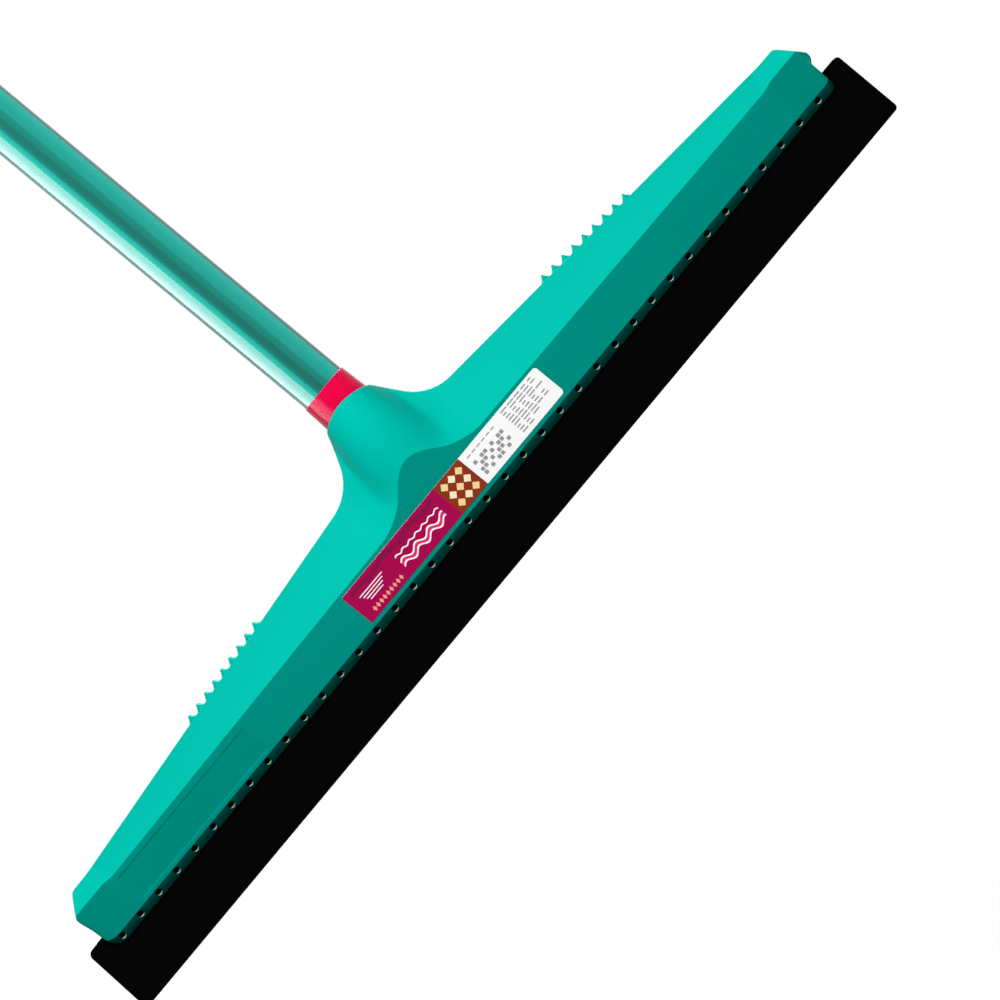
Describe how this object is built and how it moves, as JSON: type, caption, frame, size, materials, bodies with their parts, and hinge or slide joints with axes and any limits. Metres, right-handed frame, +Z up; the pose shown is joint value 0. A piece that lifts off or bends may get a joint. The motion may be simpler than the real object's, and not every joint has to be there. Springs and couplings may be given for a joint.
{
  "type": "floor squeegee",
  "caption": "Floor squeegee: a moulded beam grips a front and a rear foam blade; a sleeved steel handle with a hanging eye screws into its socket.",
  "frame": {"origin": "on the floor under the handle's axis, at the blades' lower edges, midway between the blades", "axes": "+X along the head to the right, seen from the front; +Y from front to rear; +Z up along the handle"},
  "size_m": [0.55, 0.0526, 1.3632],
  "materials": {
    "teal_polypropylene": "satin moulded",
    "black_foam": "matte closed-cell foam",
    "pink_polypropylene": "glossy moulded",
    "tube_steel": "drawn and welded",
    "teal_film": "glossy film",
    "printed_paper": "printed and coated"
  },
  "bodies": {
    "head": {"head": "teal_polypropylene", "front_blade": "black_foam", "rear_blade": "black_foam", "label": "printed_paper"},
    "handle_core": {"handle_tube": "tube_steel"},
    "handle": {"handle_sleeve": "teal_film", "threaded_tip": "pink_polypropylene", "hanging_cap": "pink_polypropylene"}
  },
  "joints": [
    {"name": "handle_rise", "type": "slide", "parent": "head", "child": "handle_core", "axis": [0, 0, 1], "range_m": [0, 0.03]},
    {"name": "handle_turn", "type": "hinge", "parent": "handle_core", "child": "handle", "pos_m": [0, 0, 0.1], "axis": [0, 0, 1], "range_deg": [0, 2161]}
  ],
  "couplings": [
    {"joint": "handle_turn", "follows": "handle_rise", "rad_per_m": 1256.6}
  ]
}
